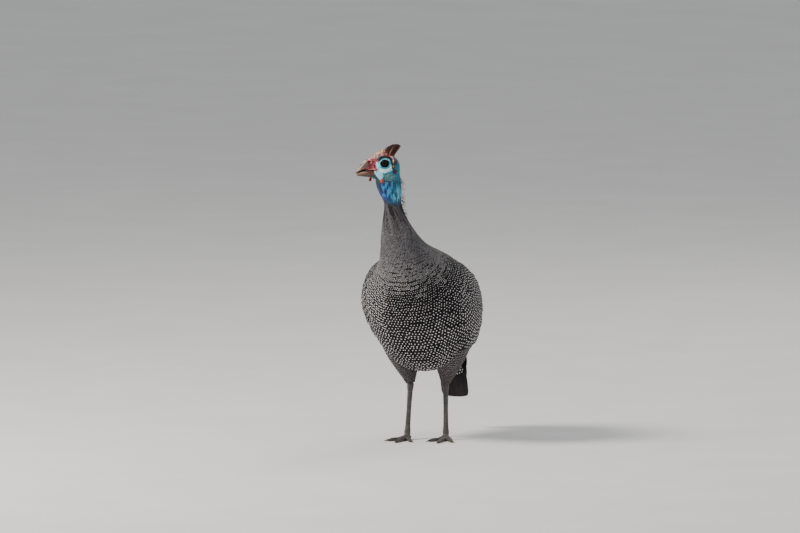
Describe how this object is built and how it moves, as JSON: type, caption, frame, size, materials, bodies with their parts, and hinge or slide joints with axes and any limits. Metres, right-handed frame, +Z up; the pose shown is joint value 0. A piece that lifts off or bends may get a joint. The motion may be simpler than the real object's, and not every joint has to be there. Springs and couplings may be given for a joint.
{
  "type": "helmeted guinea fowl",
  "caption": "Life-size helmeted guinea fowl standing alert, neck raised and head turned to its right, with casque, wattles, spotted feathers, wings, tail and feet; a still model.",
  "frame": {"origin": "centre of the bounding box in x and y, on the floor the feet stand on", "axes": "+Z up along the height of the standing bird; the body faces -Y and its left side is towards +X"},
  "size_m": [0.1874, 0.3126, 0.4836],
  "materials": {
    "face_skin": "bare blue skin of the head and neck",
    "wattle_skin": "red and pale blue wattle skin",
    "plumage": "charcoal feathers with white spots",
    "wing_feathers": "dark barred and spotted feathers",
    "casque_horn": "dark brown horn",
    "bill_horn": "grey-brown horn with a pale tip",
    "eye": "glossy dark brown",
    "leg_scales": "dark grey-brown scutes",
    "claw_horn": "dark horn"
  },
  "bodies": {
    "root": {"head": "face_skin", "neck_upper": "face_skin", "neck_lower": "plumage", "torso": "plumage", "wing_left": "wing_feathers", "wing_right": "wing_feathers", "tail": "wing_feathers", "thigh_left": "plumage", "thigh_right": "plumage", "casque": "casque_horn", "bill_upper": "bill_horn", "bill_lower": "bill_horn", "eye_left": "eye", "eye_right": "eye", "wattle_left": "wattle_skin", "wattle_right": "wattle_skin", "shank_left": "leg_scales", "shank_right": "leg_scales", "foot_left": "leg_scales", "foot_right": "leg_scales", "claw_inner_left": "claw_horn", "claw_middle_left": "claw_horn", "claw_outer_left": "claw_horn", "claw_hind_left": "claw_horn", "claw_inner_right": "claw_horn", "claw_middle_right": "claw_horn", "claw_outer_right": "claw_horn", "claw_hind_right": "claw_horn"}
  },
  "joints": []
}
